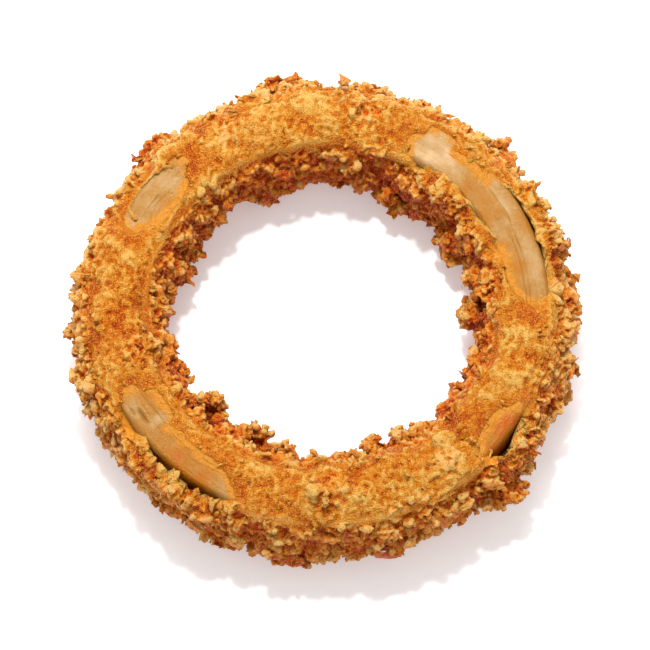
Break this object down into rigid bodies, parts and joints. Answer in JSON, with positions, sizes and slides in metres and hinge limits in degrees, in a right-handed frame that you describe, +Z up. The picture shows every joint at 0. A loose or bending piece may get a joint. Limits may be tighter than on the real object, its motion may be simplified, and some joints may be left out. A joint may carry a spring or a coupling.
{
  "type": "breaded onion ring",
  "caption": "Breaded, fried onion ring lying flat: concentric onion layers inside a craggy golden crumb crust that has broken open along the top, so the onion shows.",
  "frame": {"origin": "on the surface that the ring lies on, at the bottom centre of the box that just holds the ring, below the middle of the hole", "axes": "+Z up along the axis of the hole, and -Y towards the viewer of the picture, with +X to the right"},
  "size_m": [0.091, 0.09, 0.0209],
  "materials": {
    "crumb_crust": "fried crumb, rough, golden to orange-brown, glossy with oil in places",
    "cooked_onion": "moist, pale amber, slightly translucent"
  },
  "bodies": {
    "root": {"crust": "crumb_crust", "onion_outer_layer": "cooked_onion", "onion_inner_layer": "cooked_onion"}
  },
  "joints": []
}
